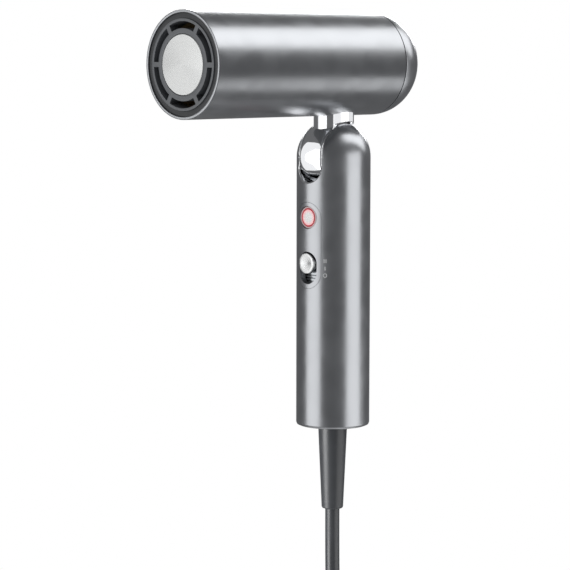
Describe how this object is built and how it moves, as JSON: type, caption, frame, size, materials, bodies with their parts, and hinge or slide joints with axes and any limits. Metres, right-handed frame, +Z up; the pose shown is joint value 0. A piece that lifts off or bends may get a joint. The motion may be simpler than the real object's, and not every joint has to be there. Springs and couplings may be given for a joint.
{
  "type": "hair dryer",
  "caption": "Slim folding travel hair dryer: round barrel with a slotted outlet on a straight handle that folds at a neck, with button, speed slider and cord.",
  "frame": {"origin": "on the handle's axis, in the middle of the plain cylindrical grip below the controls", "axes": "+Z up along the handle towards the fold, -Y the way the air leaves, X the fold axis; the object is symmetric about X=0 apart from wires and cord coil"},
  "size_m": [0.046, 0.1373, 0.4894],
  "materials": {
    "titanium_paint": "satin metallic grey",
    "chrome": "mirror chrome plate",
    "spun_aluminium": "circular spun, clear",
    "grille_plastic": "moulded, heat resistant",
    "dark_plastic": "moulded, fine grain",
    "frame_plastic": "moulded, glass filled",
    "ring_light": "translucent, lit red",
    "magnet_nickel": "nickel plated",
    "mica": "pressed mica sheet",
    "heater_wire": "oxidised resistance wire",
    "steel": "ground and plated",
    "motor_aluminium": "machined",
    "laminations": "stacked silicon steel",
    "copper": "enamelled copper wire",
    "acetal": "turned, self-lubricating",
    "rubber": "moulded silicone",
    "flex_pvc": "satin extruded sheath",
    "wire_sheath": "silicone insulation",
    "brass": "nickelled brass",
    "circuit_board": "solder mask",
    "components": "moulded package",
    "can_sleeve": "sleeved aluminium can"
  },
  "bodies": {
    "handle": {"handle_shell": "titanium_paint", "inner_frame": "frame_plastic", "hinge_bushes": "acetal", "friction_washers": "steel", "cord_clamp": "dark_plastic", "end_cap": "titanium_paint", "handle_screws": "steel", "strain_relief": "flex_pvc", "inner_lead": "flex_pvc", "supply_wires": "wire_sheath", "handle_wires": "wire_sheath", "control_panel": "titanium_paint", "switch_board": "circuit_board", "board_screws": "steel", "tact_switch": "components", "slide_switch": "components", "main_board": "circuit_board", "capacitors": "can_sleeve", "choke_coil": "copper", "driver_chips": "components", "cord": "flex_pvc", "cord_tail": "flex_pvc", "cord_coil": "flex_pvc", "cord_tie": "flex_pvc", "plug_body": "flex_pvc", "plug_blades": "brass"},
    "head": {"barrel_shell": "titanium_paint", "outlet_ring": "dark_plastic", "nozzle_magnets": "magnet_nickel", "outlet_grille": "grille_plastic", "centre_cap": "spun_aluminium", "heat_tube": "mica", "duct_collar": "grille_plastic", "heater_frame": "mica", "heater_coil": "heater_wire", "thermal_cutout": "steel", "thermal_fuse": "components", "motor_housing": "motor_aluminium", "motor_end_plate": "motor_aluminium", "motor_bearings": "steel", "stator_core": "laminations", "stator_windings": "copper", "motor_dampers": "rubber", "rear_frame": "dark_plastic", "cover_magnets": "magnet_nickel", "hinge_neck": "chrome", "hinge_pins": "steel", "neck_plate": "steel", "neck_screws": "steel", "head_wires": "wire_sheath"},
    "rotor": {"rotor_magnet": "magnet_nickel", "motor_shaft": "steel", "impeller": "frame_plastic"},
    "cover": {"rear_cover": "titanium_paint", "keeper_ring": "steel", "inlet_mesh": "steel"},
    "button": {"button_cap": "spun_aluminium", "light_ring": "ring_light"},
    "slider": {"slide_knob": "spun_aluminium", "slide_carriage": "dark_plastic"}
  },
  "joints": [
    {"name": "fold", "type": "hinge", "parent": "handle", "child": "head", "pos_m": [0, 0, 0.092], "axis": [1, 0, 0], "range_deg": [0, 90]},
    {"name": "motor_spin", "type": "hinge", "parent": "head", "child": "rotor", "pos_m": [0, 0, 0.13338], "axis": [0, 1, 0], "continuous": true},
    {"name": "cover_pull", "type": "slide", "parent": "head", "child": "cover", "axis": [0, 1, 0], "range_m": [0, 0.03]},
    {"name": "power_press", "type": "slide", "parent": "handle", "child": "button", "axis": [0, 1, 0], "range_m": [0, 0.0006], "stiffness_N_per_m": 800},
    {"name": "speed_slide", "type": "slide", "parent": "handle", "child": "slider", "axis": [0, 0, -1], "range_m": [0, 0.0043]}
  ]
}
